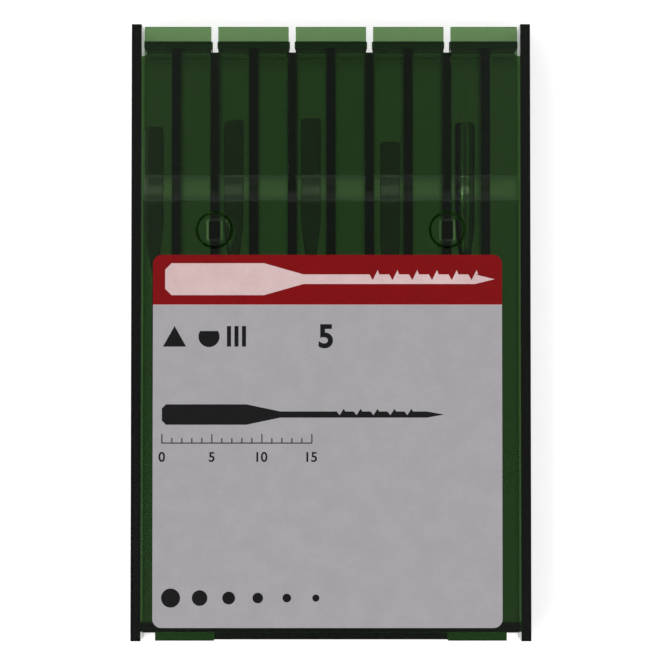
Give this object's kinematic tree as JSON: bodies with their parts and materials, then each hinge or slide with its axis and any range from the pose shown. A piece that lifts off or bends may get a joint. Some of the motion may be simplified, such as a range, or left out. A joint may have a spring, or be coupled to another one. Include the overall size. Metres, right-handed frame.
{
  "type": "felting needle case",
  "caption": "Flat clear green plastic case with spring flaps over its channels, holding straight felting needles, with a paper label on the front.",
  "frame": {"origin": "middle of the back face", "axes": "+X to the right and +Y towards the finger tabs seen from the front, +Z towards the viewer"},
  "size_m": [0.04, 0.0618, 0.0048],
  "materials": {
    "case_plastic": "clear bottle green, moulded smooth",
    "needle_steel": "ground and polished hardened steel",
    "label_paper": "matt printed paper"
  },
  "bodies": {
    "case": {"tray": "case_plastic", "front_cover": "case_plastic", "label": "label_paper"},
    "flap_1": {"flap_1": "case_plastic"},
    "flap_2": {"flap_2": "case_plastic"},
    "flap_3": {"flap_3": "case_plastic"},
    "flap_4": {"flap_4": "case_plastic"},
    "flap_5": {"flap_5": "case_plastic"},
    "needle_1": {"needle_1": "needle_steel"},
    "needle_2": {"needle_2": "needle_steel"},
    "needle_3": {"needle_3": "needle_steel"},
    "needle_4": {"needle_4": "needle_steel"},
    "needle_5": {"needle_5": "needle_steel"}
  },
  "joints": [
    {"name": "flap_1_hinge", "type": "hinge", "parent": "case", "child": "flap_1", "pos_m": [-0.01536, 0.0144, 0.0041], "axis": [1, 0, 0], "range_deg": [0, 45], "stiffness_Nm_per_rad": 0.04},
    {"name": "flap_2_hinge", "type": "hinge", "parent": "case", "child": "flap_2", "pos_m": [-0.00778, 0.0144, 0.0041], "axis": [1, 0, 0], "range_deg": [0, 45], "stiffness_Nm_per_rad": 0.04},
    {"name": "flap_3_hinge", "type": "hinge", "parent": "case", "child": "flap_3", "pos_m": [0, 0.0144, 0.0041], "axis": [1, 0, 0], "range_deg": [0, 45], "stiffness_Nm_per_rad": 0.04},
    {"name": "flap_4_hinge", "type": "hinge", "parent": "case", "child": "flap_4", "pos_m": [0.00778, 0.0144, 0.0041], "axis": [1, 0, 0], "range_deg": [0, 45], "stiffness_Nm_per_rad": 0.04},
    {"name": "flap_5_hinge", "type": "hinge", "parent": "case", "child": "flap_5", "pos_m": [0.01536, 0.0144, 0.0041], "axis": [1, 0, 0], "range_deg": [0, 45], "stiffness_Nm_per_rad": 0.04},
    {"name": "needle_1_slide", "type": "slide", "parent": "case", "child": "needle_1", "axis": [0, 1, 0], "range_m": [-0.02165, 0.0075]},
    {"name": "needle_2_slide", "type": "slide", "parent": "case", "child": "needle_2", "axis": [0, 1, 0], "range_m": [-0.0223, 0.00685]},
    {"name": "needle_3_slide", "type": "slide", "parent": "case", "child": "needle_3", "axis": [0, 1, 0], "range_m": [-0.0225, 0.00665]},
    {"name": "needle_4_slide", "type": "slide", "parent": "case", "child": "needle_4", "axis": [0, 1, 0], "range_m": [-0.02015, 0.009]},
    {"name": "needle_5_slide", "type": "slide", "parent": "case", "child": "needle_5", "axis": [0, 1, 0], "range_m": [-0.02215, 0.007]}
  ]
}
